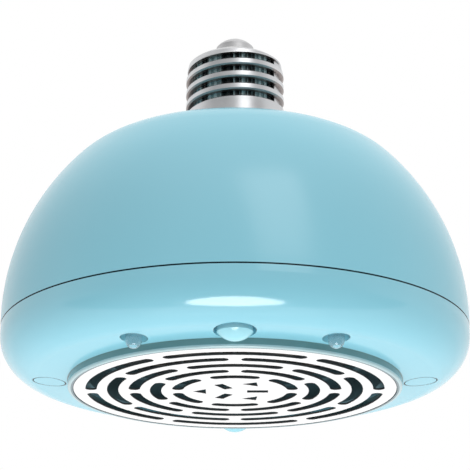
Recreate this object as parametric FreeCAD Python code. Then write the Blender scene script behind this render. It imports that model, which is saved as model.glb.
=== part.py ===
import FreeCAD
import Part
import math
import os
from FreeCAD import Vector

# Screw-in dome heater, in millimetres. Z runs up the lamp axis, the front faces -Y,
# and the rim of the collar stands on Z = 0.

# Housings
body_d = 120.0
wall = 2.0
corner_r = 10.0             # rounded lower corner
underside_rise = 0.7        # from the collar out to the corner
seam_rise = 1.7             # straight side between the corner and the seam
belt_rise = 2.3             # straight side between the seam and the dome
shoulder_r = 19.0           # arc between the dome and the crown
shoulder_inset = 26.75      # from the side in to the edge of the crown
crown_slope = 10.5          # degrees
neck_wall = 1.3
neck_height = 5.4           # neck collar above the crown
lip_depth = 3.0             # tongue of the lower housing inside the upper one
lip_wall = 1.0
seam_gap = 0.1
seam_line = 0.25            # open line between the two outer faces
pad_thickness = 1.6         # flat pad under the crown that the cap's flange seats on

# Collar and outlet grille
floor_width = 17.5          # underside from the side in to the collar
collar_wall = 3.2
collar_root = 2.2           # underside height beside the collar
sleeve_height = 9.0         # the collar runs on inside as a sleeve
rim_round = 0.5
plate_lap = 1.7             # how far the plate's edge seats in the collar
plate_gap = 0.25
plate_recess = 0.1
plate_thickness = 0.5
slot_margin = 1.3           # from the collar's bore in to the outer slots
slot_step = 5.44
slot_width = 2.9
slot_bridge = 3.0
slots_per_ring = 6
hub_margin = 1.5            # least plate between the hub's points and the inner slots
hub_slot = (5.35, 2.45)     # length and width
hub_slot_r = 5.75
hub_point = (7.4, 10.8, 4.8)  # base radius, apex radius and base width

# Buttons, lenses and screw plugs on the underside
control_offset = 4.5        # from the collar out to the buttons and lenses
button_d = 8.4
button_tip = 0.2
button_dome = 2.0
button_travel = 0.8
button_clearance = 0.3
pocket_step = 0.4           # pocket's mouth beyond its guide bore
button_seat = 5.6
flange_lap = 1.2            # flange beyond the button
flange_thickness = 1.0
lens_angle = 30.0           # degrees each side of the front button
lens_d = 3.9
lens_tip = 0.1
lens_dome = 1.755
lens_gap = 0.15
lens_seat = 6.8
lens_flange_d = 5.6
lens_flange_thickness = 0.8
recess_step = 1.1           # lens recess beyond its bore
recess_depth = 2.4
recess_wall = 1.5
plug_offset = 4.9           # from the collar out to the screw plugs
plug_d = 8.0
plug_gap = 0.15
plug_seat = 4.3
plug_spigot = 0.8

# Housing screws
screw_d = 3.0
screw_head_d = 5.4
screw_head_height = 2.0
screw_head_gap = 1.5        # between the plug and the screw head
screw_length = 20.0
screw_clearance = 0.2
screw_drive = (3.2, 0.8, 1.0)  # length, width and depth of the cross recess
boss_wall = 2.3

# Control boards, switches and indicator lights
board_thickness = 1.6
board_reach = 58.0          # degrees each side of a button
board_screw_inset = 8.0     # degrees in from the board's end
board_gap = 1.4             # from the duct's flange out to the board
board_margin = 2.0          # from the board out to the lip
board_screw_d = 2.0
board_screw_depth = 5.5
board_screw_end = 0.5       # between the screw's end and the bottom of its hole
board_screw_clearance = 0.2
pillar_d = 4.6
switch_side = 6.0
switch_height = 3.5
switch_chamfer = 0.4
switch_gap = 0.5            # between a pressed button's flange and its switch
plunger_d = 3.4
plunger_reach = 1.4         # how far the plunger enters the switch
led_side = 3.0
led_height = 1.4
pan_head = (1.85, 0.6)      # diameter and height of a pan head, in screw diameters
pan_drive = (1.1, 0.37, 0.25)  # length, width and depth of its cross, in screw diameters

# Duct, heater and fan
duct_gap = 0.3
duct_wall = 1.8
duct_bottom = 3.0
duct_overhang = 1.5         # duct above the fan
duct_flange = 2.0
duct_flange_inset = 0.5     # flange edge inside the collar's radius
frame_lift = 1.0            # heater frame above the flange
frame_height = 12.0
frame_ring = 2.2
frame_rib = 1.8             # wall between the heater and the side pockets
frame_web = 1.6             # thin web that closes the top of the pockets
pocket_inset = 11.0         # side pocket shorter than the heater at each end
stack_gap = 0.2
core_corner = 4.47          # from the heater's corners out to the frame's edge
core_inset = 1.0            # heater below the frame's faces
bar_thickness = 2.4
fin_row_pitch = 11.5
fin_pitch = 3.54
fin_thickness = 0.7
fan_ring = 1.6
tip_gap = 2.0               # from the fan's ring in to the blade tips
impeller_hub_r = 14.0
impeller_hub_wall = 1.4
impeller_hub_height = 10.5
impeller_gap = 1.1          # between the hub and the fan frame's plate
blade_count = 7
blade_thickness = 1.2
blade_root = (13.0, 38.0)   # chord and pitch angle at the hub
blade_tip = (19.0, 24.0)    # chord and pitch angle at the tip
magnet_gap = 0.6            # motor inside the hub
motor_gap = 1.7             # motor above the hub's floor
motor_slots = 9
motor_slot = (3.0, 1.6)     # depth and width
motor_plate = 1.0
shaft_d = 3.0
shaft_clearance = 0.03
shaft_end = 0.4             # shaft below the top of its bush
bush_d = 6.0
bush_wall = 1.2
bush_gap = 0.4              # bush boss above the hub
strut_count = 3
strut_width = 4.0
strut_thickness = 2.0
cutout_d = 12.0
cutout_height = 2.4
cutout_flange = 0.8
cutout_tab = (0.8, 3.0, 1.0)  # thickness, width and height
cutout_angle = 45.0         # degrees from +X

# Power board in the crown
power_gap = 8.5             # from the fan up to the board
power_r = 27.0
power_post_inset = 4.5      # from the board's edge in to its screws
power_post_d = 6.0
power_post_angles = (30.0, 150.0, 270.0)
power_screw_d = 2.5
power_screw_length = 8.0
power_screw_clearance = 0.2
relay_size = (15.5, 10.0, 9.0)
relay_place = (13.0, 200.0)   # radius and degrees from +X
relay_round = 0.6
capacitor_d = 8.0
capacitor_height = 9.5
capacitor_place = (14.0, 90.0)
transformer_core = (13.0, 4.5, 8.5)
transformer_coil = (9.0, 11.0, 6.5)
transformer_base = 1.0
transformer_place = (13.0, 330.0)
fuse_d = 3.6
fuse_length = 9.0
fuse_lift = 2.2
fuse_leg = 0.8
fuse_place = (9.5, 145.0)
component_gap = 1.2         # from the tallest component up to the cap's flange

# Air inlet in the crown
inlet_count = 18
inlet_offset = 3.0          # from the cap's flange out to the slots
inlet_length = 11.5
inlet_width = 2.0

# Screw cap
thread_d = 26.45
thread_pitch = 3.629
thread_depth = 1.1
thread_start = -195.0       # degrees from +X where the lowest valley begins
thread_fade = 20.0          # degrees over which a valley begins or runs out
thread_section = 10.0       # degrees between sections of the wall
thread_turns = 4            # valleys with vents
thread_lead = 3.23          # plain wall above and below the thread
crest_rise = 0.8            # from the shell's shoulder up to where the top crest would be on +X
ridge_width = 2.2
crest_width = 1.2
crest_fall = 0.6            # how far the top crest falls back at the shoulder
crest_fall_height = 3.2     # height below the shoulder where that begins
shell_wall = 0.5
skirt_gap = 0.1             # from the neck up to the skirt
shoulder_width = 6.025      # from the thread in to the mouth
shoulder_rise = 2.3
shoulder_bulge = 0.62
vent_height = 1.75
vent_start = -190.0         # degrees from +X; each front vent ends right of the front
vent_sweep = 160.0
core_wall = 2.2
core_drop = 0.35            # below the shell's shoulder
core_seat = 1.0             # length of the seat inside the skirt
core_ribs = 40
rib_height = 0.5
rib_width = 0.8
rib_gap = 0.225
core_plug_inset = 1.025     # plug inside the thread's radius
core_plug_gap = 0.1
core_flange_step = 3.3      # flange beyond the plug
core_flange_thickness = 1.6
insulator_rise = 1.6        # above the shell's mouth
insulator_foot = 0.7
insulator_gap = 0.03        # beside the shell's mouth
insulator_rim = 0.8         # beside the contact
contact_margin = 2.1        # contact inside the mouth
contact_wall = 1.9          # straight side of the contact
contact_dome = 2.5
lead_d = 1.8
lead_bends = (14.0, 28.0)   # heights above the board
lead_cut = 0.45             # share of a run that its arc takes

# Radii
body_r = body_d / 2
lip_bottom_r = body_r - wall
crown_edge_r = body_r - shoulder_inset
collar_r = body_r - floor_width
ledge_r = collar_r - collar_wall
plate_r = ledge_r + plate_lap
slot_outer_r = ledge_r - slot_margin
slot_room = slot_outer_r - slot_width - hub_point[1] - hub_margin
slot_rings = int(slot_room / slot_step) + 1
control_r = collar_r + control_offset
plug_r = collar_r + plug_offset
flange_d = button_d + 2 * flange_lap
boss_d = screw_d + 2 * boss_wall - screw_clearance
duct_flange_r = collar_r - duct_flange_inset
duct_r = ledge_r - duct_gap
duct_bore = duct_r - duct_wall
stack_r = duct_bore - stack_gap
core_side = math.sqrt(2) * (stack_r - core_corner)
impeller_r = stack_r - fan_ring - tip_gap
motor_r = impeller_hub_r - impeller_hub_wall - magnet_gap
board_inner_r = duct_flange_r + board_gap
board_outer_r = lip_bottom_r - lip_wall - board_margin
board_screw_r = (board_inner_r + board_outer_r) / 2
board_screw_angle = board_reach - board_screw_inset
board_screw_length = board_thickness + board_screw_depth - board_screw_end
power_post_r = power_r - power_post_inset
thread_r = thread_d / 2
root_r = thread_r - thread_depth
shell_bore = root_r - shell_wall
mouth_r = thread_r - shoulder_width
contact_r = mouth_r - contact_margin
core_r = shell_bore - rib_gap - rib_height
core_plug_r = thread_r - core_plug_inset
core_flange_r = core_plug_r + core_flange_step
plug_bore_r = core_plug_r + core_plug_gap
neck_r = plug_bore_r + neck_wall
inlet_inner_r = core_flange_r + inlet_offset
inlet_outer_r = inlet_inner_r + inlet_length

# Heights, from the rim of the collar up to the contact
corner_height = collar_root + underside_rise + corner_r
seam_height = corner_height + seam_rise
belt_top = seam_height + belt_rise
plate_back = plate_recess + plate_thickness
button_top = button_seat + button_clearance + flange_thickness
switch_bottom = button_top + button_travel + switch_gap
board_height = switch_bottom + switch_height
screw_seat = plug_seat + plug_spigot + screw_head_gap + screw_head_height
screw_top = screw_seat + screw_length
frame_bottom = sleeve_height + duct_flange + frame_lift
fan_base = frame_bottom + frame_height
impeller_bottom = fan_base + cutout_height + cutout_tab[2]
impeller_top = impeller_bottom + impeller_hub_height
fan_plate = impeller_top + impeller_gap
fan_top = fan_plate + strut_thickness
duct_top = fan_top + duct_overhang
motor_top = impeller_top + bush_gap
motor_bottom = impeller_bottom + impeller_hub_wall + motor_gap + bush_gap
power_height = fan_top + power_gap
component_base = power_height + board_thickness
component_height = max(relay_size[2], capacitor_height, transformer_base + transformer_core[2])
core_bottom = component_base + component_height + component_gap
core_flange_top = core_bottom + core_flange_thickness
slope = math.radians(crown_slope)
crown_fall = (core_flange_r - neck_r) * math.tan(slope)
crown_height = core_flange_top + pad_thickness + wall / math.cos(slope) + crown_fall
neck_top = crown_height + neck_height
skirt_bottom = neck_top + skirt_gap
shell_shoulder = skirt_bottom + thread_turns * thread_pitch + thread_lead
thread_crest = shell_shoulder + crest_rise
shell_top = shell_shoulder + shoulder_rise
core_top = shell_shoulder - core_drop
insulator_top = shell_top + insulator_rise
contact_edge = insulator_top + contact_wall
contact_top = contact_edge + contact_dome
AXIS = Vector(0, 0, 1)
ORIGIN = Vector(0, 0, 0)


def at(radius, degrees, height=0.0):
    turn = math.radians(degrees)
    return Vector(radius * math.cos(turn), radius * math.sin(turn), height)


def post(diameter, bottom, top, centre=ORIGIN):
    return Part.makeCylinder(diameter / 2, top - bottom, Vector(centre.x, centre.y, bottom))


def tube(outer_r, inner_r, bottom, top):
    outer = Part.makeCylinder(outer_r, top - bottom, Vector(0, 0, bottom))
    return outer.cut(Part.makeCylinder(inner_r, top - bottom, Vector(0, 0, bottom)))


def block(x, y, z, centre, bottom):
    return Part.makeBox(x, y, z, Vector(centre.x - x / 2, centre.y - y / 2, bottom))


def turned(shape, degrees):
    copy = shape.copy()
    copy.rotate(ORIGIN, AXIS, degrees)
    return copy


def around(shape, count, first=0.0):
    return [turned(shape, first + 360.0 * n / count) for n in range(count)]


def section_face(edges):
    return Part.Face(Part.Wire(edges))


def revolved(edges):
    return section_face(edges).revolve(ORIGIN, AXIS, 360)


def rz(radius, height):
    return Vector(radius, 0, height)


def chain(*points):
    """Straight edges from each point to the next."""
    return [Part.makeLine(a, b) for a, b in zip(points, points[1:])]


def arc_about(centre, radius, start, end):
    """Arc in the XZ plane about centre, between two angles in degrees."""
    def on(angle):
        turn = math.radians(angle)
        return centre + Vector(radius * math.cos(turn), 0, radius * math.sin(turn))
    return Part.Arc(on(start), on((start + end) / 2), on(end)).toShape(), on(start), on(end)


def shoulder_centre():
    """Centre of the arc that leaves the crown at its edge."""
    height = crown_height - (crown_edge_r - neck_r) * math.tan(slope)
    return rz(crown_edge_r, height) - Vector(math.sin(slope), 0, math.cos(slope)) * shoulder_r


def dome_radius():
    """Radius of the arc that leaves the side upright and runs on into the shoulder."""
    centre = shoulder_centre()
    inset = centre.x - body_r
    rise = centre.z - belt_top
    return (shoulder_r ** 2 - inset ** 2 - rise ** 2) / (2 * (inset + shoulder_r))


def dome_edges(inset, bottom):
    """Outline of the upper housing set in from its outer face, from bottom to the axis."""
    shoulder_at = shoulder_centre()
    dome_at = rz(body_r - dome_radius(), belt_top)
    to_shoulder = shoulder_at - dome_at
    meet = math.degrees(math.atan2(to_shoulder.z, to_shoulder.x))
    dome, dome_start, _ = arc_about(dome_at, dome_radius() - inset, 0, meet)
    shoulder, _, crown_start = arc_about(shoulder_at, shoulder_r - inset, meet, 90 - crown_slope)
    top = rz(0, crown_start.z + crown_start.x * math.tan(slope))
    side = chain(rz(0, bottom), rz(body_r - inset, bottom), dome_start)
    return side + [dome, shoulder] + chain(crown_start, top, rz(0, bottom))


def dome_solid(inset, bottom):
    return revolved(dome_edges(inset, bottom))


def bowl_solid(inset, top):
    """Solid inside the lower housing's outer face, set in by inset."""
    centre = rz(body_r - corner_r, corner_height)
    corner, corner_start, side = arc_about(centre, corner_r - inset, -90, 0)
    root = collar_root + inset
    edges = chain(rz(0, root), rz(collar_r, root), corner_start) + [corner]
    edges += chain(side, rz(body_r - inset, top), rz(0, top), rz(0, root))
    return revolved(edges)


def boss(diameter, bottom, top, centre, limit):
    return post(diameter, bottom, top, centre).common(limit)


def at_plugs():
    return [at(plug_r, 0), at(plug_r, 180)]


def at_lenses():
    return {
        "front_left": at(control_r, -90 - lens_angle),
        "front_right": at(control_r, -90 + lens_angle),
    }


def at_buttons():
    return {"front": -90.0, "back": 90.0}


def roof_height(radius):
    """Height of the upper housing's inner face at a radius on the crown or the shoulder."""
    if radius < crown_edge_r:
        return crown_height - (radius - neck_r) * math.tan(slope) - wall / math.cos(slope)
    centre = shoulder_centre()
    return centre.z + math.sqrt((shoulder_r - wall) ** 2 - (radius - centre.x) ** 2)


def upper_housing():
    outer = dome_solid(0, seam_height)
    rim_height = seam_height + seam_line
    shell = dome_solid(0, rim_height).cut(dome_solid(wall, seam_height - 1))
    lip_seat = post(2 * (lip_bottom_r + seam_gap), seam_height - 1, seam_height + lip_depth)
    pad = post(2 * (core_flange_r + neck_wall), core_flange_top, crown_height)
    adds = [pad.common(outer), post(2 * neck_r, crown_height - wall, neck_top)]
    for place in at_plugs():
        adds.append(boss(boss_d, seam_height - seam_gap, crown_height, place, outer))
        web = block(body_r - plug_r, wall, crown_height, place, rim_height)
        web.translate(place * ((body_r - plug_r) / 2 / plug_r))
        adds.append(web.common(outer))
    for turn in power_post_angles:
        adds.append(boss(power_post_d, component_base, crown_height, at(power_post_r, turn), outer))
    shell = shell.multiFuse(adds)
    cuts = [post(2 * plug_bore_r, core_flange_top - 1, neck_top + 1)]
    cuts += around(inlet_slot(), inlet_count)
    for place in at_plugs():
        cuts.append(post(screw_d - screw_clearance, seam_height - 1, screw_top + 1, place))
    for turn in power_post_angles:
        hole_top = power_height + power_screw_length + 1
        cuts.append(post(power_screw_d, power_height, hole_top, at(power_post_r, turn)))
    cuts.append(lip_seat.cut(post(2 * (lip_bottom_r - lip_wall), 0, 2 * seam_height)))
    return shell.cut(Part.makeCompound(cuts))


def inlet_slot():
    """Round-ended slot through the crown, along +X."""
    low = roof_height(inlet_outer_r) - 1
    high = crown_height + 1
    ends = [at(inlet_inner_r + inlet_width / 2, 0), at(inlet_outer_r - inlet_width / 2, 0)]
    bar = block(ends[1].x - ends[0].x, inlet_width, high - low, (ends[0] + ends[1]) / 2, low)
    return bar.multiFuse([post(inlet_width, low, high, end) for end in ends])


def lower_housing():
    outer = bowl_solid(0, seam_height)
    hollow = bowl_solid(wall, seam_height + 1)
    shell = outer.cut(hollow.cut(post(2 * collar_r, 0, seam_height + 2)))
    shell = shell.cut(post(2 * collar_r, 0, seam_height + 1))
    sleeve = tube(collar_r, ledge_r, 0, sleeve_height)
    sleeve = sleeve.cut(post(2 * (plate_r + plate_gap), -1, plate_back))
    rims = [edge for edge in sleeve.Edges
            if abs(edge.BoundBox.ZMax) < 1e-6 and abs(edge.Curve.Radius - collar_r) < 1e-6]
    sleeve = sleeve.makeFillet(rim_round, rims)
    lip_top = seam_height + lip_depth - seam_gap
    lip = tube(lip_bottom_r, lip_bottom_r - lip_wall, corner_height, lip_top)
    adds = [sleeve, lip]
    for turn in at_buttons().values():
        guide = post(flange_d + 2 * button_clearance, collar_root, button_seat, at(control_r, turn))
        adds.append(guide.common(outer))
    for place in at_plugs():
        adds.append(boss(plug_d + 2 * wall, collar_root, seam_height - seam_gap, place, outer))
    recess_d = lens_d + 2 * (lens_gap + recess_step)
    for place in at_lenses().values():
        adds.append(boss(recess_d + 2 * recess_wall, collar_root, lens_seat, place, outer))
    for turn in at_buttons().values():
        for side in (-1, 1):
            place = at(board_screw_r, turn + side * board_screw_angle)
            adds.append(boss(pillar_d, collar_root, board_height, place, outer))
    shell = shell.multiFuse(adds)
    cuts = [post(2 * ledge_r, -1, sleeve_height + 1)]
    cuts.append(post(2 * (duct_flange_r + duct_gap), sleeve_height, seam_height + 1))
    for turn in at_buttons().values():
        cuts.append(button_pocket(at(control_r, turn)))
    for place in at_lenses().values():
        cuts.append(lens_recess(place))
    for place in at_plugs():
        cuts.append(post(plug_d + 2 * plug_gap, 0, plug_seat, place))
        cuts.append(post(screw_head_d + 2 * screw_clearance, 0, screw_seat, place))
        cuts.append(post(screw_d + 2 * screw_clearance, 0, seam_height + 1, place))
    for turn in at_buttons().values():
        for side in (-1, 1):
            place = at(board_screw_r, turn + side * board_screw_angle)
            cuts.append(post(board_screw_d, board_height - board_screw_depth, board_height + 1, place))
    return shell.cut(Part.makeCompound(cuts))


def button_pocket(place):
    """Guide bore with a wider mouth below and room for the flange above."""
    bore = button_d + 2 * button_clearance
    guide = post(bore, collar_root, button_seat + 1, place)
    mouth = post(bore + 2 * pocket_step, collar_root, collar_root + wall, place)
    room = post(flange_d + 2 * button_clearance, button_seat, board_height, place)
    return guide.multiFuse([mouth, room])


def lens_recess(place):
    bore = lens_d + 2 * lens_gap
    hole = post(bore, 0, lens_seat + 1, place)
    return hole.fuse(post(bore + 2 * recess_step, 0, collar_root + recess_depth, place))


def grille_slot(mid_r, start, end):
    """Arc slot with round ends; start and end are the end-round centres, in degrees."""
    half = slot_width / 2

    def ring_arc(radius, first, last):
        return Part.Arc(at(radius, first), at(radius, (first + last) / 2), at(radius, last))

    def round_end(angle, side):
        centre = at(mid_r, angle)
        along = at(1, angle + 90 * side)
        return Part.Arc(at(mid_r + half, angle), centre + along * half, at(mid_r - half, angle))

    edges = [
        ring_arc(mid_r + half, start, end).toShape(),
        round_end(end, 1).toShape(),
        ring_arc(mid_r - half, end, start).toShape(),
        round_end(start, -1).toShape(),
    ]
    return section_face(edges).extrude(Vector(0, 0, plate_back + 1))


def grille_plate():
    plate = post(2 * plate_r, plate_recess, plate_back)
    cuts = []
    pitch = 360.0 / slots_per_ring
    for ring in range(slot_rings):
        mid_r = slot_outer_r - slot_step * ring - slot_width / 2
        gap = math.degrees((slot_bridge + slot_width) / 2 / mid_r)
        first = pitch / 2 * (ring % 2)
        for n in range(slots_per_ring):
            start = first + n * pitch
            cuts.append(grille_slot(mid_r, start + gap, start + pitch - gap))
    length, width = hub_slot
    cuts += around(block(length, width, 3, at(hub_slot_r, 0), -1), 3)
    base_r, apex_r, base = hub_point
    corners = [Vector(base_r, -base / 2, -1), Vector(apex_r, 0, -1), Vector(base_r, base / 2, -1)]
    point = Part.Face(Part.makePolygon(corners + corners[:1])).extrude(Vector(0, 0, 3))
    cuts += around(point, 3, 60)
    return plate.cut(Part.makeCompound(cuts))


def dome_end(radius, rise, tip, top):
    """Round bar with a spherical lower end."""
    sphere_r = (radius * radius + rise * rise) / (2 * rise)
    mid = math.sqrt(sphere_r ** 2 - (radius / 2) ** 2)
    cap = Part.Arc(rz(0, tip), rz(radius / 2, tip + sphere_r - mid), rz(radius, tip + rise))
    return revolved([cap.toShape()] + chain(rz(radius, tip + rise), rz(radius, top),
                                            rz(0, top), rz(0, tip)))


def button(turn):
    body = dome_end(button_d / 2, button_dome, button_tip, button_top)
    body = body.fuse(post(flange_d, button_top - flange_thickness, button_top))
    body.translate(at(control_r, turn))
    return body


def switch_plunger(turn):
    return post(plunger_d, button_top, switch_bottom + plunger_reach, at(control_r, turn))


def switch_case(turn):
    case = block(switch_side, switch_side, switch_height, ORIGIN, switch_bottom)
    lower_edges = [edge for edge in case.Edges if edge.BoundBox.ZMax < switch_bottom + 1e-6]
    case = case.makeChamfer(switch_chamfer, lower_edges)
    bore_top = switch_bottom + plunger_reach + button_travel + button_clearance
    case = case.cut(post(plunger_d + 2 * button_clearance, switch_bottom - 1, bore_top))
    case.translate(at(control_r, turn))
    return case


def control_board(turn):
    """Arc-shaped board that lies on two pillars."""
    top = board_height + board_thickness
    sweep = 2 * board_reach
    outer = Part.makeCylinder(board_outer_r, board_thickness, rz(0, board_height), AXIS, sweep)
    inner = Part.makeCylinder(board_inner_r, board_thickness, rz(0, board_height), AXIS, sweep)
    board = turned(outer.cut(inner), turn - board_reach)
    hole_d = board_screw_d + 2 * board_screw_clearance
    holes = [post(hole_d, 0, top + 1, at(board_screw_r, turn + side * board_screw_angle))
             for side in (-1, 1)]
    return board.cut(Part.makeCompound(holes))


def board_screws():
    """Pan-head screws on top of the control boards."""
    seat = board_height + board_thickness
    screws = []
    for turn in at_buttons().values():
        for side in (-1, 1):
            place = at(board_screw_r, turn + side * board_screw_angle)
            screws.append(machine_screw(board_screw_d, seat, -board_screw_length, place))
    return Part.makeCompound(screws)


def machine_screw(diameter, seat, reach, place):
    """Pan-head screw; reach is the shank's signed length away from the head's seat."""
    head_d = pan_head[0] * diameter
    head_height = pan_head[1] * diameter
    length, width, depth = [share * diameter for share in pan_drive]
    side = -1 if reach < 0 else 1
    face = seat - side * head_height
    shank = post(diameter, min(seat, seat + reach), max(seat, seat + reach))
    screw = shank.fuse(post(head_d, min(seat, face), max(seat, face)))
    for turn in (0, 90):
        slot = block(length, width, 2 * depth, ORIGIN, face - depth)
        screw = screw.cut(turned(slot, turn))
    screw.translate(Vector(place.x, place.y, 0))
    return screw


def lens(place):
    body = dome_end(lens_d / 2, lens_dome, lens_tip, board_height - led_height)
    body = body.fuse(post(lens_flange_d, lens_seat, lens_seat + lens_flange_thickness))
    body.translate(place)
    return body


def indicator_leds():
    bottom = board_height - led_height
    return Part.makeCompound([block(led_side, led_side, led_height, place, bottom)
                              for place in at_lenses().values()])


def plug(place):
    body = post(plug_d, 0, plug_seat, place).common(bowl_solid(0, seam_height))
    return body.fuse(post(screw_head_d, plug_seat, plug_seat + plug_spigot, place))


def housing_screws():
    return Part.makeCompound([housing_screw(place) for place in at_plugs()])


def housing_screw(place):
    face = screw_seat - screw_head_height
    shank = post(screw_d - screw_clearance, screw_seat, screw_top)
    screw = shank.fuse(post(screw_head_d, face, screw_seat))
    length, width, depth = screw_drive
    for turn in (0, 90):
        slot = block(length, width, 2 * depth, ORIGIN, face - depth)
        screw = screw.cut(turned(slot, turn))
    screw.translate(place)
    return screw


def air_duct():
    """Tube that hangs by its flange on the sleeve, with a ledge under the heater."""
    body = tube(duct_r, duct_bore, duct_bottom, duct_top)
    flange = tube(duct_flange_r, duct_bore, sleeve_height, sleeve_height + duct_flange)
    ledge = tube(duct_bore, duct_bore - frame_ring, frame_bottom - duct_wall, frame_bottom)
    return body.multiFuse([flange, ledge])


def heater_frame():
    """Round frame with a square opening for the heater and four side pockets."""
    ring = post(2 * stack_r, frame_bottom, fan_base)
    opening = block(core_side, core_side, frame_height + 2, ORIGIN, frame_bottom - 1)
    disc = post(2 * (stack_r - frame_ring), frame_bottom - 1, fan_base - frame_web)
    lobe = block(stack_r, core_side - 2 * pocket_inset, frame_height + 2,
                 at(core_side / 2 + frame_rib + stack_r / 2, 0), frame_bottom - 1)
    pockets = around(lobe.common(disc), 4)
    return ring.cut(Part.makeCompound([opening] + pockets))


def fin_rows():
    return round(core_side / fin_row_pitch)


def fins_per_row():
    return round(core_side / fin_pitch)


def heater_fins():
    """Rows of aluminium fins between the bars."""
    row_pitch = core_side / fin_rows()
    depth = row_pitch - bar_thickness
    low = frame_bottom + core_inset
    height = frame_height - 2 * core_inset
    fins = []
    for row in range(fin_rows()):
        centre_y = -core_side / 2 + row_pitch * (row + 0.5)
        spine = block(core_side, fin_thickness, height, Vector(0, centre_y, 0), low)
        plates = []
        for n in range(fins_per_row()):
            x = -core_side / 2 + core_side * (n + 0.5) / fins_per_row()
            plates.append(block(fin_thickness, depth, height, Vector(x, centre_y, 0), low))
        fins.append(spine.multiFuse(plates))
    return Part.makeCompound(fins)


def heater_bars():
    """Heater bars in their flat tubes between the rows of fins, with half bars outside."""
    low = frame_bottom + core_inset
    height = frame_height - 2 * core_inset
    edge = core_side / 2 - bar_thickness / 4
    bars = [block(core_side, bar_thickness / 2, height, Vector(0, side * edge, 0), low)
            for side in (-1, 1)]
    for n in range(1, fin_rows()):
        y = core_side * (n / fin_rows() - 0.5)
        bars.append(block(core_side, bar_thickness, height, Vector(0, y, 0), low))
    return Part.makeCompound(bars)


def thermal_cutout():
    """Snap-disc thermostat on the heater frame."""
    top = fan_base + cutout_height
    thickness, width, height = cutout_tab
    place = at(stack_r - fan_ring - cutout_d / 2 - 2 * cutout_flange, cutout_angle)
    can = post(cutout_d, fan_base, top, place)
    collar = post(cutout_d + 2 * cutout_flange, fan_base, fan_base + cutout_flange, place)
    tabs = [block(thickness, width, 2 * height, place + at(cutout_d / 3, turn), top - height)
            for turn in (0, 180)]
    return can.multiFuse([collar] + tabs)


def fan_frame():
    """Shroud ring with three struts that carry the motor from above."""
    ring = tube(stack_r, stack_r - fan_ring, fan_base, fan_top)
    outer_end = stack_r - fan_ring / 2
    inner_end = motor_r / 2
    strut = block(outer_end - inner_end, strut_width, strut_thickness,
                  at((outer_end + inner_end) / 2, 0), fan_plate)
    disc = post(2 * motor_r, fan_plate, fan_top)
    bush_boss = post(bush_d + 2 * bush_wall, motor_top, fan_top)
    frame = ring.multiFuse([disc, bush_boss] + around(strut, strut_count, 90))
    return frame.cut(post(bush_d, fan_base, fan_top + 1))


def fan_bush():
    bush = post(bush_d, motor_bottom, fan_top)
    return bush.cut(post(shaft_d + 2 * shaft_clearance, 0, fan_top + 1))


def fan_motor():
    """Slotted stator ring inside the impeller's cup, pressed on the bush, with an end plate."""
    low = motor_bottom + motor_plate
    high = motor_top - motor_plate
    stator = tube(motor_r - magnet_gap, bush_d / 2, low, high)
    depth, width = motor_slot
    notch = block(depth, width, motor_top - motor_bottom, at(motor_r - depth / 2, 0), motor_bottom)
    stator = stator.cut(Part.makeCompound(around(notch, motor_slots)))
    return stator.fuse(tube(bush_d, bush_d / 2, high, motor_top))


def fan_shaft():
    return post(shaft_d, impeller_bottom + impeller_hub_wall, fan_top - shaft_end)


def fan_impeller():
    """Hub cup that opens upwards, with twisted blades."""
    hub = post(2 * impeller_hub_r, impeller_bottom, impeller_top)
    rounds = [edge for edge in hub.Edges
              if edge.BoundBox.ZMax < impeller_bottom + 1e-6 and edge.Closed]
    hub = hub.makeFillet(impeller_hub_wall, rounds)
    bore = impeller_hub_r - impeller_hub_wall
    hub = hub.cut(post(2 * bore, impeller_bottom + impeller_hub_wall, impeller_top + 1))
    mid_z = impeller_bottom + impeller_hub_height / 2

    def blade_section(radius, chord, pitch):
        turn = math.radians(pitch)
        along = Vector(0, math.cos(turn), math.sin(turn)) * (chord / 2)
        across = Vector(0, -math.sin(turn), math.cos(turn)) * (blade_thickness / 2)
        centre = Vector(radius, 0, mid_z)
        ring = [centre - along, centre - across, centre + along, centre + across]
        return Part.makePolygon(ring + ring[:1])

    root = blade_section(impeller_hub_r - impeller_hub_wall / 2, *blade_root)
    tip_r = math.sqrt(impeller_r ** 2 - (blade_tip[0] / 2) ** 2)
    blade = Part.makeLoft([root, blade_section(tip_r, *blade_tip)], True, True)
    return hub.multiFuse(around(blade, blade_count))


def power_board():
    board = post(2 * power_r, power_height, component_base)
    hole_d = power_screw_d + 2 * power_screw_clearance
    holes = [post(hole_d, 0, component_base + 1, at(power_post_r, turn))
             for turn in power_post_angles]
    return board.cut(Part.makeCompound(holes))


def power_screws():
    return Part.makeCompound([machine_screw(power_screw_d, power_height, power_screw_length,
                                            at(power_post_r, turn)) for turn in power_post_angles])


def relay():
    body = block(*relay_size, at(*relay_place), component_base)
    return body.makeFillet(relay_round, body.Edges)


def filter_capacitor():
    can = post(capacitor_d, component_base, component_base + capacitor_height, at(*capacitor_place))
    rims = [edge for edge in can.Edges if edge.Closed and edge.BoundBox.ZLength < 1e-6]
    return can.makeFillet(relay_round, rims)


def transformer():
    place = at(*transformer_place)
    length, depth, height = transformer_core
    coil_length, coil_depth, coil_height = transformer_coil
    coil_lift = component_base + transformer_base + (height - coil_height) / 2
    core = block(length, depth, height, place, component_base + transformer_base)
    coil = block(coil_length, coil_depth, coil_height, place, coil_lift)
    base = block(length, coil_depth, transformer_base, place, component_base)
    return core.multiFuse([coil, base])


def fuse_link():
    """Fuse that lies on its two legs, along Y."""
    place = at(*fuse_place)
    low_end = Vector(place.x, place.y - fuse_length / 2, component_base + fuse_lift)
    body = Part.makeCylinder(fuse_d / 2, fuse_length, low_end, Vector(0, 1, 0))
    reach = fuse_length / 2 - fuse_leg / 2
    legs = [block(fuse_leg, fuse_leg, fuse_lift, place + Vector(0, y, 0), component_base)
            for y in (-reach, reach)]
    return body.multiFuse(legs)


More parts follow.
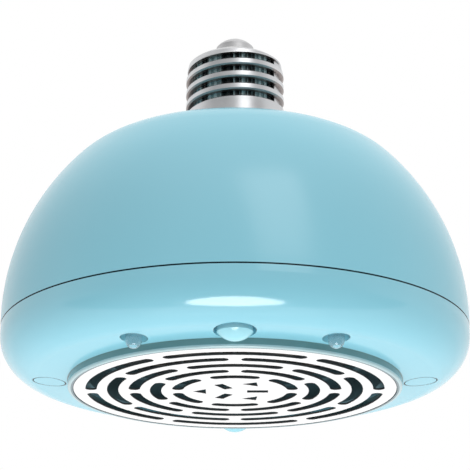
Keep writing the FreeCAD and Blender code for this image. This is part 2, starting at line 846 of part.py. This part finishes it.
def cap_core():
    """Dark carrier of the screw cap: flange, plug and ribbed neck."""
    flange = post(2 * core_flange_r, core_bottom, core_flange_top)
    plug_body = post(2 * core_plug_r, core_bottom, skirt_bottom)
    seat = post(2 * shell_bore, core_bottom, skirt_bottom + core_seat)
    neck = post(2 * core_r, core_bottom, core_top)
    rib = block(2 * rib_height, rib_width, core_top - skirt_bottom, at(core_r, 0), skirt_bottom)
    body = flange.multiFuse([plug_body, seat, neck] + around(rib, core_ribs))
    return body.cut(post(2 * (core_r - core_wall), core_bottom - 1, core_top + 1))


def valley_height(turns_down, angle):
    """Height of the thread's valley at an angle from +X, counted down from the top crest."""
    return thread_crest + thread_pitch * (angle / 360 - turns_down - 0.5)


def helix_cutter(points, start, sweep, height):
    """Solid swept up a right-handed helix, from an (r, z) outline about the valley."""
    spine = Part.makeHelix(thread_pitch, thread_pitch * sweep / 360, root_r)
    pipe = Part.BRepOffsetAPI.MakePipeShell(Part.Wire(spine.Edges))
    pipe.setFrenetMode(True)
    pipe.add(Part.Wire(chain(*[rz(r, z) for r, z in points + points[:1]])))
    pipe.build()
    pipe.makeSolid()
    solid = turned(pipe.shape(), start)
    solid.translate(Vector(0, 0, height))
    return solid


def smooth_step(value):
    bounded = min(max(value, 0.0), 1.0)
    return bounded * bounded * (3 - 2 * bounded)


def fall_back(height):
    """How far the crests lie inside the thread's radius at a height."""
    return crest_fall * smooth_step(1 - (shell_shoulder - height) / crest_fall_height)


def valley_points(turns_down, angle):
    """Six outline points of one valley, from its lower mouth to its upper one."""
    floor = (thread_pitch - ridge_width) / 2
    mouth = (thread_pitch - crest_width) / 2
    bend = floor + 0.28 * (mouth - floor)
    depth = thread_depth
    if turns_down == thread_turns - 1:
        depth *= smooth_step((angle - thread_start) / thread_fade)
    gone = 0.0
    if turns_down == 0:
        gone = smooth_step((angle - vent_start - vent_sweep) / thread_fade)
    depth *= 1 - gone
    middle = valley_height(turns_down, angle)
    below = valley_height(1, angle) + mouth
    shares = [0, 0.4, 1, 1, 0.4, 0]
    points = []
    for n, offset in enumerate((-mouth, -bend, -floor, floor, bend, mouth)):
        parked = below + (shell_shoulder - below) * (n + 1) / 7
        height = (1 - gone) * (middle + offset) + gone * parked
        points.append((thread_r - max(depth * shares[n], fall_back(height)), height))
    return points


def cap_section(angle):
    """Closed outline of the cap's wall in the half plane at an angle from +X."""
    def on(radius, height):
        return at(radius, angle, height)
    shoulder_edge = thread_r - crest_fall
    bulge_r = mouth_r + shoulder_bulge * (shoulder_edge - mouth_r)
    bulge_z = shell_shoulder + shoulder_bulge * (shell_top - shell_shoulder)
    outer = [on(shell_bore, skirt_bottom), on(thread_r, skirt_bottom)]
    for turns_down in range(thread_turns - 1, -1, -1):
        outer += [on(r, z) for r, z in valley_points(turns_down, angle)]
    outer.append(on(shoulder_edge, shell_shoulder))
    over = Part.Arc(outer[-1], on(bulge_r, bulge_z), on(mouth_r, shell_top)).toShape()
    under = Part.Arc(on(mouth_r, shell_top - shell_wall), on(bulge_r - shell_wall, bulge_z - shell_wall),
                     on(shell_bore, shell_shoulder)).toShape()
    edges = chain(*outer) + [over]
    edges += chain(on(mouth_r, shell_top), on(mouth_r, shell_top - shell_wall)) + [under]
    edges += chain(on(shell_bore, shell_shoulder), on(shell_bore, skirt_bottom))
    return Part.Wire(edges)


def half_cap(start):
    steps = round(180 / thread_section)
    sections = [cap_section(start + 180 * n / steps) for n in range(steps + 1)]
    return Part.makeLoft(sections, True, False)


def vent(turns_down, start):
    """One long opening through the wall along the valley."""
    half = vent_height / 2
    inner = shell_bore - thread_depth
    outer = thread_r + thread_depth
    points = [(inner, -half), (outer, -half), (outer, half), (inner, half)]
    return helix_cutter(points, start, vent_sweep, valley_height(turns_down, start))


def screw_shell():
    """Rolled cap: skirt, threaded wall, vents in the valleys and a turned-in shoulder."""
    shell = half_cap(thread_start).fuse(half_cap(thread_start + 180))
    for turns_down in range(thread_turns):
        shell = shell.cut(vent(turns_down, vent_start))
    for turns_down in range(1, thread_turns):
        shell = shell.cut(vent(turns_down, vent_start + 180))
    return shell


def cap_insulator():
    """Insulating plug that closes the top of the shell and carries the contact."""
    seat = shell_top - shell_wall
    neck = mouth_r - insulator_gap
    edges = chain(rz(0, core_top), rz(core_r, core_top), rz(core_r, core_top + insulator_foot),
                  rz(neck, seat), rz(neck, shell_top),
                  rz(contact_r + insulator_rim, insulator_top), rz(0, insulator_top),
                  rz(0, core_top))
    body = revolved(edges)
    return body.cut(post(lead_d, core_top - 1, insulator_top + 1))


def centre_contact():
    sphere_r = (contact_r ** 2 + contact_dome ** 2) / (2 * contact_dome)
    mid_z = contact_top - sphere_r + math.sqrt(sphere_r ** 2 - (contact_r / 2) ** 2)
    cap = Part.Arc(rz(contact_r, contact_edge), rz(contact_r / 2, mid_z), rz(0, contact_top))
    return revolved([cap.toShape()] + chain(rz(0, contact_top), rz(0, insulator_top),
                                            rz(contact_r, insulator_top),
                                            rz(contact_r, contact_edge)))


def lead(points):
    """Insulated wire along straight runs joined by tangent arcs."""
    edges = []
    start = points[0]
    for before, corner, after in zip(points, points[1:], points[2:]):
        into = corner - before
        away = after - corner
        cut = lead_cut * min(into.Length, away.Length)
        first = corner - into.normalize() * cut
        last = corner + away.normalize() * cut
        turn = into.getAngle(away)
        radius = cut / math.tan(turn / 2)
        inward = (away - into).normalize()
        middle = corner + inward * (radius / math.cos(turn / 2) - radius)
        edges.append(Part.makeLine(start, first))
        edges.append(Part.Arc(first, middle, last).toShape())
        start = last
    edges.append(Part.makeLine(start, points[-1]))
    spine = Part.Wire(edges)
    circle = Part.makeCircle(lead_d / 2, points[0], points[1] - points[0])
    return spine.makePipeShell([Part.Wire(circle)], True, True)


def live_lead():
    low, high = [component_base + rise for rise in lead_bends]
    return lead([Vector(2.5, -3, component_base), Vector(2.5, -3, low), Vector(0, 0, high),
                 Vector(0, 0, insulator_top)])


def neutral_lead():
    low, high = [component_base + rise for rise in lead_bends]
    return lead([Vector(-5, 3, component_base), Vector(-5, 3, low), Vector(-6.5, 2, high),
                 Vector(-6.5, 2, core_top)])


def nodes():
    parts = {
        "upper_housing": upper_housing(),
        "lower_housing": lower_housing(),
        "grille_plate": grille_plate(),
        "indicator_leds": indicator_leds(),
        "left_plug": plug(at_plugs()[1]),
        "right_plug": plug(at_plugs()[0]),
        "housing_screws": housing_screws(),
        "board_screws": board_screws(),
        "air_duct": air_duct(),
        "heater_frame": heater_frame(),
        "heater_fins": heater_fins(),
        "heater_bars": heater_bars(),
        "thermal_cutout": thermal_cutout(),
        "fan_frame": fan_frame(),
        "fan_bush": fan_bush(),
        "fan_motor": fan_motor(),
        "fan_shaft": fan_shaft(),
        "fan_impeller": fan_impeller(),
        "power_board": power_board(),
        "power_screws": power_screws(),
        "relay": relay(),
        "filter_capacitor": filter_capacitor(),
        "transformer": transformer(),
        "fuse_link": fuse_link(),
        "cap_core": cap_core(),
        "screw_shell": screw_shell(),
        "cap_insulator": cap_insulator(),
        "centre_contact": centre_contact(),
        "live_lead": live_lead(),
        "neutral_lead": neutral_lead(),
    }
    for side, turn in at_buttons().items():
        parts[side + "_button"] = button(turn)
        parts[side + "_plunger"] = switch_plunger(turn)
        parts[side + "_switch"] = switch_case(turn)
        parts[side + "_board"] = control_board(turn)
    for side, place in at_lenses().items():
        parts["lens_" + side] = lens(place)
    return parts


def main():
    os.makedirs("parts", exist_ok=True)
    for name, shape in nodes().items():
        shape.exportStep("parts/" + name + ".step")


main()
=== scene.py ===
import math

import bpy
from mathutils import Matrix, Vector

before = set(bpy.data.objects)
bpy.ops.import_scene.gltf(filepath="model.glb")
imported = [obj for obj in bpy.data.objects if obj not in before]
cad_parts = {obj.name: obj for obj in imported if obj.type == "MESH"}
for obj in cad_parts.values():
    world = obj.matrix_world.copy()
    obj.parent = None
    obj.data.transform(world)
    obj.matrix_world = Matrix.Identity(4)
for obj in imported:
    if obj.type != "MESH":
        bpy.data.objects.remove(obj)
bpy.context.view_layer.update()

# Camera: a long lens below the rim, tilted up
CAMERA_PLACE = (0.0, -0.4097, -0.1026)
CAMERA_TILT = 19.49            # degrees
CAMERA_LENS = 126.4            # millimetres, as the sensor's width
SENSOR_WIDTH = 36.0
CAMERA_REACH = (0.01, 50.0)    # metres, nearest and farthest

# Floor, in metres
FLOOR_HEIGHT = -0.8
FLOOR_SIZE = 12.0
FLOOR_FADE = (-0.24, -0.18)    # along Y, from the shaded front to the pale rest
FLOOR_SHADE = (95, 95, 95)
FLOOR_PALE = (248, 248, 248)
FLOOR_ROUGHNESS = (0.6, 0.7)

# Lamps, in metres and watts
LAMPS = {
    "underlight": {"place": (0.0, -0.34, -0.6), "size": (0.42, 0.33), "power": 2.8,
                   "shape": "ELLIPSE"},
    "underglow": {"place": (0.0, -0.05, -0.62), "size": (0.6, 0.5), "power": 0.2,
                  "shape": "ELLIPSE"},
    "softbox": {"place": (0.37, -0.87, 0.80), "size": (0.52, 1.0), "power": 3.0,
                "shape": "RECTANGLE"},
}
LAMP_AIM = (0.0, 0.0, 0.03)

# Light from all round: an even part, and soft glows that fade away from their directions
WORLD_EVEN = 0.04
BACKDROP_EDGE = (-0.6, 0.0)    # along Y, from the dim room in front to the white backdrop
GLOWS = {
    "right": {"towards": (1, -0.3, 0.2), "sharpness": 2.5, "strength": 0.06},
    "back": {"towards": (0, 1, 0.1), "sharpness": 2.0, "strength": 0.5},
    "back_right": {"towards": (0.8, 0.6, 0.1), "sharpness": 3.0, "strength": 0.06},
    "top": {"towards": (0, 0, 1), "sharpness": 2.5, "strength": 1.2},
    "top_front": {"towards": (0, -0.6, 0.8), "sharpness": 3.0, "strength": 0.36},
}
WHITE = (1, 1, 1, 1)

# Colours of the outside, as they look on screen
BODY_BLUE = (149, 217, 235)
BODY_BLUE_DEEP = (147, 216, 234)
BUTTON_BLUE = (178, 239, 251)
PLATE_WHITE = (252, 252, 252)
CAP_SILVER = (213, 214, 216)
CONTACT_GREY = (212, 212, 213)
# painted shade on the plated metal where it faces down
UNDERSIDE_PAINTED_SHADE = (162, 152, 149)
CORE_TEAL = (190, 222, 226)
# painted shade of the gaps between the core's ribs
CORE_GAP_PAINTED_SHADE = (30, 44, 48)
LENS_CLEAR = (236, 250, 253)

# Colours of painted shade in the shaded places, and of painted light on the collar's rim
WELL_PAINTED_SHADE = (38, 74, 85)
RECESS_PAINTED_SHADE = (58, 96, 106)
COLLAR_PAINTED_SHADE = (110, 151, 154)
RIM_PAINTED_LIGHT = (182, 212, 217)
GAP_PAINTED_SHADE = (112, 134, 141)
EDGE_PAINTED_SHADE = (70, 74, 76)

# Satin pieces: colour, roughness and the CAD nodes that wear them
SATIN_PLASTICS = {
    # the duct's dark teal is painted shade, in place of the blue plastic in shade
    "duct_painted_shade": ((92, 122, 130), 0.35, ("air_duct",)),
    "cap_insulation": ((226, 225, 224), 0.4, ("cap_insulator",)),
    "frame_plastic": ((58, 62, 64), 0.45, ("heater_frame", "fan_frame", "fan_impeller")),
    "heater_ceramic": ((96, 92, 86), 0.6, ("heater_bars",)),
    "board_green": ((36, 92, 62), 0.35, ("power_board", "front_board", "back_board")),
    "switch_black": ((40, 41, 42), 0.45, ("front_switch", "back_switch", "front_plunger",
                                          "back_plunger")),
    "component_blue": ((52, 66, 92), 0.45, ("relay", "filter_capacitor")),
    "component_yellow": ((196, 170, 84), 0.45, ("transformer",)),
    "light_chip": ((222, 236, 238), 0.3, ("indicator_leds",)),
    "fuse_glass": ((206, 210, 208), 0.2, ("fuse_link",)),
    "lead_red": ((170, 44, 40), 0.45, ("live_lead",)),
    "lead_pale": ((214, 212, 206), 0.45, ("neutral_lead",)),
}

# Bare metals: colour and the CAD nodes that wear them
PLAIN_METALS = {
    "fin_aluminium": ((120, 126, 130), ("heater_fins",)),
    "screw_steel": ((190, 190, 192), ("housing_screws", "board_screws", "power_screws",
                                      "fan_shaft", "thermal_cutout")),
    "bush_bronze": ((186, 150, 98), ("fan_bush",)),
    "motor_copper": ((150, 96, 60), ("fan_motor",)),
}

# Shaded places of the mouldings, in metres
FAR = 1.0                      # beyond the object
SOFT_EDGE = 0.00008
COLLAR_SIDE_TOP = 0.0023
COLLAR_SIDE_BOTTOM = 0.00073
COLLAR_SIDE_R = 0.04262
RIM_INNER_R = 0.0417           # shaded edge beside the plate
BUTTON_FLANGE = 0.0012         # hidden flange beyond the button's face
LENS_FLANGE = 0.00085
WELL_STEP = 0.00075            # radius of a button's pocket beyond the button
RECESS_STEP = 0.0013           # radius of a lens recess beyond the lens
PLUG_STEP = 0.00035            # shaded edge round a plug
WELL_TOP = 0.012
SEAM_HEIGHTS = (0.01455, 0.01487)
PLATE_FACE = 0.0002            # above the plate's lower face

# How far a surface has turned down where its shade begins and where it is full
CEILING_TURN = (0.5, 0.8)
UNDERSIDE_TURN = (0.3, 0.65)


def linear(colour):
    """Screen colour of 0 to 255 as a linear and opaque one, by the sRGB curve."""
    def channel(value):
        share = value / 255
        return share / 12.92 if share <= 0.04045 else ((share + 0.055) / 1.055) ** 2.4
    return tuple(channel(value) for value in colour) + (1.0,)


def shaded(colour, factor):
    """The colour, darker by a factor."""
    return tuple(value * factor for value in colour)


class Nodes:
    """A node tree with a few shortcuts; a value is a socket or a plain number or vector."""

    def __init__(self, tree):
        self.nodes = tree.nodes
        self.links = tree.links

    def feed(self, socket, value):
        """Links a socket to a value, or sets it."""
        if isinstance(value, bpy.types.NodeSocket):
            self.links.new(value, socket)
        else:
            socket.default_value = value

    def operate(self, kind, operation, values):
        """Node of a kind that has operations, fed with values in their order."""
        node = self.nodes.new(kind)
        node.operation = operation
        for socket, value in zip(node.inputs, values):
            self.feed(socket, value)
        return node

    def math(self, operation, *values):
        return self.operate("ShaderNodeMath", operation, values).outputs["Value"]

    def vector_math(self, operation, *values, result="Value"):
        return self.operate("ShaderNodeVectorMath", operation, values).outputs[result]

    def separate(self, vector):
        """X, Y and Z of a vector."""
        split = self.nodes.new("ShaderNodeSeparateXYZ")
        self.feed(split.inputs["Vector"], vector)
        return split.outputs

    def spread(self, factor, low, high, start=0.3, end=0.7):
        """Maps a factor of start to end onto the range from low to high, and holds it there."""
        node = self.nodes.new("ShaderNodeMapRange")
        for name, value in (("Value", factor), ("From Min", start), ("From Max", end),
                            ("To Min", low), ("To Max", high)):
            self.feed(node.inputs[name], value)
        return node.outputs["Result"]

    def mix(self, factor, first, second):
        """Colour between two colours, by a factor."""
        node = self.nodes.new("ShaderNodeMix")
        node.data_type = "RGBA"
        for name, value in (("Factor", factor), ("A", first), ("B", second)):
            self.feed(node.inputs[name], value)
        return node.outputs["Result"]

    def full_where_seen(self, share):
        """The share, raised to 1 for rays from the camera and through clear plastic."""
        rays = self.nodes.new("ShaderNodeLightPath")
        for kind in ("Is Camera Ray", "Is Transmission Ray"):
            share = self.math("MAXIMUM", share, rays.outputs[kind])
        return share


class Surface(Nodes):
    """A material with a Principled shader, patterned in the object's own space."""

    def __init__(self, name):
        self.material = bpy.data.materials.new(name)
        self.material.use_nodes = True
        super().__init__(self.material.node_tree)
        self.shader = self.nodes["Principled BSDF"]
        self.base = self.shader.inputs["Base Color"]
        self.coordinates = self.nodes.new("ShaderNodeTexCoord").outputs["Object"]
        self.axes = self.separate(self.coordinates)
        self.normal = None

    def set(self, **values):
        """Sets sockets of the shader; an underscore stands for a space."""
        for name, value in values.items():
            self.shader.inputs[name.replace("_", " ")].default_value = value

    def noise(self, scale, detail=3.0, stretch=(1, 1, 1)):
        """Noise; scale counts features to the metre."""
        mapping = self.nodes.new("ShaderNodeMapping")
        self.feed(mapping.inputs["Scale"], stretch)
        self.feed(mapping.inputs["Vector"], self.coordinates)
        noise = self.nodes.new("ShaderNodeTexNoise")
        self.feed(noise.inputs["Scale"], scale)
        self.feed(noise.inputs["Detail"], detail)
        self.feed(noise.inputs["Vector"], mapping.outputs["Vector"])
        return noise.outputs["Fac"]

    def colour(self, factor, first, second, start=0.3, end=0.7):
        """Base colour that drifts between two colours with a factor."""
        share = self.spread(factor, 0, 1, start, end)
        self.feed(self.base, self.mix(share, linear(first), linear(second)))

    def tone(self, mask, colour):
        """Lays a colour over the base colour where the mask is 1."""
        self.feed(self.base, self.mix(mask, self.base.links[0].from_socket, linear(colour)))

    def roughness(self, factor, low, high):
        self.feed(self.shader.inputs["Roughness"], self.spread(factor, low, high))

    def bump(self, pattern, distance):
        """Bump with a real height in metres; later calls add to earlier ones."""
        node = self.nodes.new("ShaderNodeBump")
        self.feed(node.inputs["Strength"], 1.0)
        self.feed(node.inputs["Distance"], distance)
        self.feed(node.inputs["Height"], pattern)
        if self.normal:
            self.feed(node.inputs["Normal"], self.normal)
        self.normal = node.outputs["Normal"]
        self.feed(self.shader.inputs["Normal"], self.normal)

    def within(self, centre, radius):
        """1 inside a radius of an upright axis, 0 outside."""
        flat = self.vector_math("MULTIPLY", self.coordinates, (1, 1, 0), result="Vector")
        distance = self.vector_math("DISTANCE", flat, (*centre, 0))
        return self.spread(distance, 1, 0, radius, radius + SOFT_EDGE)

    def between(self, bottom, top):
        """1 between two heights, 0 below and above."""
        above = self.spread(self.axes["Z"], 0, 1, bottom - SOFT_EDGE, bottom)
        below = self.spread(self.axes["Z"], 1, 0, top, top + SOFT_EDGE)
        return self.math("MULTIPLY", above, below)

    def facing_down(self, start, end):
        """0 to 1 as the surface turns down in the object's own space."""
        normal = self.nodes.new("ShaderNodeTexCoord").outputs["Normal"]
        return self.spread(self.separate(normal)["Z"], 1, 0, -end, -start)


def gloss_plastic(name, colour, deep, low=0.11, high=0.15):
    """Glossy moulded plastic with a faint orange peel; its roughness drifts from low to high."""
    surface = Surface(name)
    surface.set(IOR=1.5)
    surface.colour(surface.noise(scale=30), colour, deep)
    surface.roughness(surface.noise(scale=90, detail=5), low, high)
    surface.bump(surface.noise(scale=420, detail=2), distance=0.000004)
    surface.bump(surface.noise(scale=60, detail=2), distance=0.00001)
    return surface


def node_place(name):
    """Centre and half width of a CAD node, seen from above."""
    corners = [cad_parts[name].matrix_world @ Vector(corner)
               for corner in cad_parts[name].bound_box]
    low = [min(corner[axis] for corner in corners) for axis in (0, 1)]
    high = [max(corner[axis] for corner in corners) for axis in (0, 1)]
    centre = [(a + b) / 2 for a, b in zip(low, high)]
    return centre, (high[0] - low[0]) / 2


def dome_blue():
    """Plastic of the dome, a little duller than the ring below it, with a shaded seam."""
    surface = gloss_plastic("dome_blue", BODY_BLUE, BODY_BLUE_DEEP, low=0.19, high=0.25)
    # painted shade in the seam between the dome and the ring
    surface.tone(surface.between(*SEAM_HEIGHTS), WELL_PAINTED_SHADE)
    return surface.material


def shade_round(surface, names, step, part, colour):
    """Shades a part of the surface round some pieces, to a step beyond their outlines."""
    for name in names:
        centre, radius = node_place(name)
        near = surface.within(centre, radius + step)
        surface.tone(surface.math("MULTIPLY", near, part), colour)


def shade_places(surface):
    """Shades the ceilings of the pockets and recesses, and the edges round the plugs."""
    lower = surface.between(-FAR, WELL_TOP)
    ceiling = surface.math("MULTIPLY", lower, surface.facing_down(*CEILING_TURN))
    buttons = ("front_button", "back_button")
    lenses = ("lens_front_left", "lens_front_right")
    plugs = ("left_plug", "right_plug")
    # painted shade on the ceilings of the button pockets and lens recesses, and round the plugs
    shade_round(surface, buttons, WELL_STEP - BUTTON_FLANGE, ceiling, WELL_PAINTED_SHADE)
    shade_round(surface, lenses, RECESS_STEP - LENS_FLANGE, ceiling, RECESS_PAINTED_SHADE)
    shade_round(surface, plugs, PLUG_STEP, lower, WELL_PAINTED_SHADE)


def shade_collar(surface):
    """Paints shade on the collar's side and on the rim's inner edge, and paints light on the
    rim.
    """
    axis = (0, 0)
    side = surface.between(COLLAR_SIDE_BOTTOM, COLLAR_SIDE_TOP)
    inside = surface.within(axis, COLLAR_SIDE_R)
    # painted shade on the collar's side
    surface.tone(surface.math("MULTIPLY", inside, side), COLLAR_PAINTED_SHADE)
    rim = surface.between(-FAR, COLLAR_SIDE_BOTTOM - SOFT_EDGE)
    # painted light on the collar's rim: pale grey-blue in place of the body's blue
    surface.tone(rim, RIM_PAINTED_LIGHT)
    inner = surface.within(axis, RIM_INNER_R)
    # painted shade on the rim's inner edge beside the plate
    surface.tone(surface.math("MULTIPLY", inner, rim), GAP_PAINTED_SHADE)


def ring_blue():
    """Plastic of the lower ring: painted shade in its pockets, at the collar and in the seam,
    painted light on its rim.
    """
    surface = gloss_plastic("ring_blue", BODY_BLUE, BODY_BLUE_DEEP)
    surface.set(IOR=1.62)
    shade_places(surface)
    shade_collar(surface)
    # painted shade in the seam between the ring and the dome
    surface.tone(surface.between(*SEAM_HEIGHTS), WELL_PAINTED_SHADE)
    return surface.material


def satin_plastic(name, colour, roughness):
    """Moulded plastic, paint or ceramic with a fine grain."""
    surface = Surface(name)
    surface.set(IOR=1.48)
    surface.colour(surface.noise(scale=120, detail=4), colour, shaded(colour, 0.9))
    surface.roughness(surface.noise(scale=300, detail=5), roughness - 0.06, roughness + 0.08)
    surface.bump(surface.noise(scale=2500), distance=0.00001)
    return surface.material


def ribbed_plastic():
    """Carrier of the cap: lighter ribs here and there, and painted shade of the gaps between
    them.
    """
    surface = Surface("core_plastic")
    surface.set(IOR=1.48)
    ribs = surface.noise(scale=420, detail=1, stretch=(1, 1, 0))
    # painted shade of the gaps between the ribs
    surface.colour(ribs, CORE_GAP_PAINTED_SHADE, CORE_TEAL, start=0.48, end=0.52)
    surface.roughness(surface.noise(scale=300, detail=4), low=0.22, high=0.4)
    surface.bump(surface.noise(scale=2000, detail=2), distance=0.00001)
    return surface.material


def powder_paint():
    """White paint of the plate with a fine grain; painted shade on its cut edges and back."""
    surface = Surface("grille_white")
    surface.set(IOR=1.5)
    surface.colour(surface.noise(scale=50, detail=4), PLATE_WHITE, shaded(PLATE_WHITE, 0.985))
    surface.roughness(surface.noise(scale=160, detail=4), low=0.32, high=0.42)
    surface.bump(surface.noise(scale=1500), distance=0.000006)
    # painted shade on the slot walls and the back of the plate
    surface.tone(surface.between(PLATE_FACE, FAR), EDGE_PAINTED_SHADE)
    return surface.material


def plated_metal(name, colour, low, high):
    """Plated sheet with fine lines round its axis, with painted shade where it faces down."""
    surface = Surface(name)
    surface.set(Metallic=1.0)
    around = surface.noise(scale=900, detail=4, stretch=(0.04, 0.04, 1))
    surface.colour(surface.noise(scale=200, detail=4), colour, shaded(colour, 0.94))
    # painted shade where the metal faces down
    surface.tone(surface.facing_down(*UNDERSIDE_TURN), UNDERSIDE_PAINTED_SHADE)
    surface.roughness(around, low, high)
    surface.bump(around, distance=0.000012)
    surface.bump(surface.noise(scale=140), distance=0.00002)
    return surface.material


def plain_metal(name, colour):
    """Bare metal of the inner pieces."""
    surface = Surface(name)
    surface.set(Metallic=1.0)
    surface.colour(surface.noise(scale=400, detail=4), colour, shaded(colour, 0.85))
    surface.roughness(surface.noise(scale=700, detail=5), low=0.27, high=0.45)
    surface.bump(surface.noise(scale=3000), distance=0.000008)
    return surface.material


def clear_lens():
    """Polished clear plastic with a trace of haze under a hard coat."""
    surface = Surface("clear_lens")
    surface.set(IOR=1.12, Base_Color=linear(LENS_CLEAR), Transmission_Weight=0.9)
    surface.set(Coat_Weight=1.0, Coat_Roughness=0.03, Coat_IOR=1.6)
    surface.roughness(surface.noise(scale=500), low=0.02, high=0.06)
    surface.bump(surface.noise(scale=900, detail=2), distance=0.000002)
    return surface.material


def dress(material, *names):
    """Gives CAD nodes a material in place of their own."""
    for name in names:
        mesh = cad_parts[name].data
        mesh.materials.clear()
        mesh.materials.append(material)


def dress_nodes():
    """Gives every CAD node its material."""
    plug_blue = gloss_plastic("plug_blue", BODY_BLUE, BODY_BLUE_DEEP).material
    button_blue = gloss_plastic("button_blue", BUTTON_BLUE, BODY_BLUE).material
    dress(dome_blue(), "upper_housing")
    dress(ring_blue(), "lower_housing")
    dress(plug_blue, "left_plug", "right_plug")
    dress(button_blue, "front_button", "back_button")
    dress(clear_lens(), "lens_front_left", "lens_front_right")
    dress(powder_paint(), "grille_plate")
    dress(plated_metal("cap_nickel", CAP_SILVER, low=0.28, high=0.38), "screw_shell")
    dress(plated_metal("contact_nickel", CONTACT_GREY, low=0.5, high=0.6), "centre_contact")
    dress(ribbed_plastic(), "cap_core")
    for name, (colour, roughness, wearers) in SATIN_PLASTICS.items():
        dress(satin_plastic(name, colour, roughness), *wearers)
    for name, (colour, wearers) in PLAIN_METALS.items():
        dress(plain_metal(name, colour), *wearers)


def add_camera():
    """The photo's camera, on the object's front side."""
    data = bpy.data.cameras.new("camera")
    data.sensor_width = SENSOR_WIDTH
    data.lens = CAMERA_LENS
    data.clip_start, data.clip_end = CAMERA_REACH
    camera = bpy.data.objects.new("camera", data)
    camera.location = CAMERA_PLACE
    camera.rotation_euler = (math.radians(90 + CAMERA_TILT), 0, 0)
    bpy.context.scene.collection.objects.link(camera)
    bpy.context.scene.camera = camera


def add_lamps():
    """Area lamps that point at the object, unseen by the camera."""
    for name, lamp in LAMPS.items():
        data = bpy.data.lights.new(name, "AREA")
        data.shape = lamp["shape"]
        data.size, data.size_y = lamp["size"]
        data.energy = lamp["power"]
        thing = bpy.data.objects.new(name, data)
        thing.location = lamp["place"]
        direction = Vector(LAMP_AIM) - thing.location
        thing.rotation_euler = direction.to_track_quat("-Z", "Y").to_euler()
        thing.visible_camera = False
        bpy.context.scene.collection.objects.link(thing)


def glow_strength(tree, direction, glow):
    """Strength of one glow, which fades with the angle from its direction."""
    towards = Vector(glow["towards"]).normalized()
    nearness = tree.vector_math("DOT_PRODUCT", direction, towards)
    fall = tree.math("MULTIPLY_ADD", nearness, glow["sharpness"], -glow["sharpness"])
    return tree.math("MULTIPLY", tree.math("POWER", math.e, fall), glow["strength"])


def add_world():
    """White to the camera, through clear plastic and in reflections of the backdrop; to
    everything else an even light with soft glows."""
    world = bpy.data.worlds.new("studio")
    world.use_nodes = True
    tree = Nodes(world.node_tree)
    direction = tree.nodes.new("ShaderNodeTexCoord").outputs["Generated"]
    total = WORLD_EVEN
    for glow in GLOWS.values():
        total = tree.math("ADD", total, glow_strength(tree, direction, glow))
    soft = tree.nodes["Background"]
    white = tree.nodes.new("ShaderNodeBackground")
    for background, strength in ((soft, total), (white, 1.0)):
        tree.feed(background.inputs["Color"], WHITE)
        tree.feed(background.inputs["Strength"], strength)
    rays = tree.nodes.new("ShaderNodeLightPath")
    behind = tree.spread(tree.separate(direction)["Y"], 0, 1, *BACKDROP_EDGE)
    mirrored = tree.math("MULTIPLY", rays.outputs["Is Glossy Ray"], behind)
    mix = tree.nodes.new("ShaderNodeMixShader")
    for socket, value in zip(mix.inputs, (tree.full_where_seen(mirrored),
                                          soft.outputs["Background"],
                                          white.outputs["Background"])):
        tree.feed(socket, value)
    tree.feed(tree.nodes["World Output"].inputs["Surface"], mix.outputs["Shader"])
    bpy.context.scene.world = world


def add_floor():
    """Pale floor that reflects little light where it lies in front of the object."""
    half = FLOOR_SIZE / 2
    corners = [(-half, -half), (half, -half), (half, half), (-half, half)]
    mesh = bpy.data.meshes.new("floor")
    mesh.from_pydata([(x, y, FLOOR_HEIGHT) for x, y in corners], [], [(0, 1, 2, 3)])
    floor = bpy.data.objects.new("floor", mesh)
    bpy.context.scene.collection.objects.link(floor)
    surface = Surface("floor_white")
    surface.roughness(surface.noise(scale=20), *FLOOR_ROUGHNESS)
    pale = surface.spread(surface.axes["Y"], 0, 1, *FLOOR_FADE)
    surface.colour(surface.full_where_seen(pale), FLOOR_SHADE, FLOOR_PALE, start=0, end=1)
    mesh.materials.append(surface.material)


dress_nodes()
add_camera()
add_lamps()
add_world()
add_floor()
bpy.context.scene.view_settings.view_transform = "Standard"
